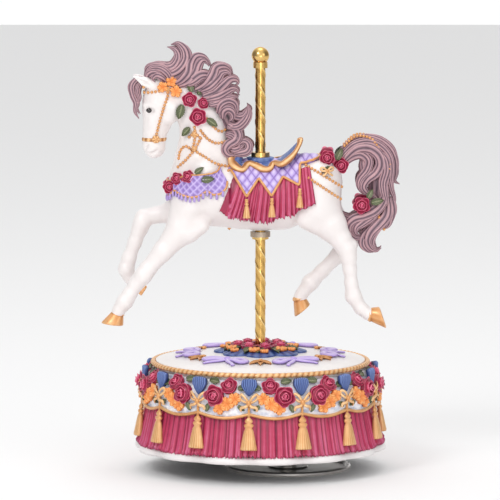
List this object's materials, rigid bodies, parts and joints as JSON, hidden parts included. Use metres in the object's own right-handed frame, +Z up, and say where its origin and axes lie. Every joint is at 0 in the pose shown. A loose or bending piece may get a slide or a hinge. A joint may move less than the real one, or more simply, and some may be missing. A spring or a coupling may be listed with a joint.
{
  "type": "carousel music box",
  "caption": "Galloping carousel horse on a twisted brass pole over a draped round base that turns on its winding foot.",
  "frame": {"origin": "centre of the foot disc's underside, on the turning axis", "axes": "+Z up along the turning axis; the horse faces -X with its near side at -Y; the pole stands 16 mm towards -X"},
  "size_m": [0.175, 0.1506, 0.2501],
  "materials": {
    "disc_steel": "satin",
    "shaft_steel": "satin",
    "white_resin": "satin",
    "valance_paint": "satin",
    "gold_paint": "satin",
    "crimson_paint": "satin",
    "blue_paint": "satin",
    "rose_paint": "satin",
    "orange_paint": "satin",
    "leaf_paint": "satin",
    "navy_paint": "satin",
    "lavender_paint": "satin",
    "plate_card": "matte",
    "brass": "polished",
    "horse_white": "satin",
    "hoof_gold": "satin",
    "mane_paint": "satin",
    "screw_steel": "satin",
    "movement_zinc": "satin",
    "spring_steel": "satin"
  },
  "bodies": {
    "foot": {"foot_disc": "disc_steel", "lock_nut": "shaft_steel", "winding_shaft": "shaft_steel", "great_wheel": "brass"},
    "carousel": {"base_shell": "white_resin", "hem_frill": "white_resin", "rope_rim": "gold_paint", "valance": "valance_paint", "valance_trim": "gold_paint", "curtain": "crimson_paint", "base_tassels": "gold_paint", "base_bows": "gold_paint", "base_fans": "blue_paint", "base_roses": "rose_paint", "base_blossoms": "orange_paint", "base_leaves": "leaf_paint", "top_drape": "navy_paint", "top_ribbons": "lavender_paint", "top_fleurs": "gold_paint", "top_roses": "rose_paint", "top_blossoms": "orange_paint", "top_leaves": "leaf_paint", "bottom_plate": "plate_card", "plate_screws": "screw_steel", "pole": "brass", "finial": "brass", "pole_nut": "screw_steel", "saddle_collar": "brass", "belly_washer": "shaft_steel", "belly_flange": "brass", "horse_body": "horse_white", "hooves": "hoof_gold", "mane": "mane_paint", "tail": "mane_paint", "saddle": "blue_paint", "saddle_roll": "gold_paint", "blanket": "lavender_paint", "skirt": "crimson_paint", "skirt_tassels": "gold_paint", "breast_collar": "lavender_paint", "noseband": "lavender_paint", "bead_chains": "gold_paint", "horse_roses": "rose_paint", "horse_leaves": "leaf_paint", "horse_blossoms": "orange_paint", "bedplate": "movement_zinc", "bedplate_screws": "screw_steel", "spring_housing": "movement_zinc", "mainspring": "spring_steel", "comb": "spring_steel", "comb_screws": "screw_steel", "cylinder_bracket": "movement_zinc", "governor_bracket": "movement_zinc"},
    "music_cylinder": {"cylinder": "brass"},
    "governor": {"governor_wheel": "brass"},
    "air_fan": {"fan": "brass"}
  },
  "joints": [
    {"name": "base_turn", "type": "hinge", "parent": "foot", "child": "carousel", "pos_m": [0, 0, 0], "axis": [0, 0, 1], "continuous": true},
    {"name": "cylinder_turn", "type": "hinge", "parent": "carousel", "child": "music_cylinder", "pos_m": [-0.03, 0, 0.0352], "axis": [1, 0, 0], "continuous": true},
    {"name": "governor_turn", "type": "hinge", "parent": "carousel", "child": "governor", "pos_m": [-0.035, -0.0102, 0.0352], "axis": [1, 0, 0], "continuous": true},
    {"name": "fan_turn", "type": "hinge", "parent": "carousel", "child": "air_fan", "pos_m": [-0.0306, -0.01515, 0.0352], "axis": [0, 0, 1], "continuous": true}
  ],
  "couplings": [
    {"joint": "cylinder_turn", "follows": "base_turn", "ratio": 3},
    {"joint": "governor_turn", "follows": "base_turn", "ratio": -9},
    {"joint": "fan_turn", "follows": "base_turn", "ratio": -54}
  ]
}
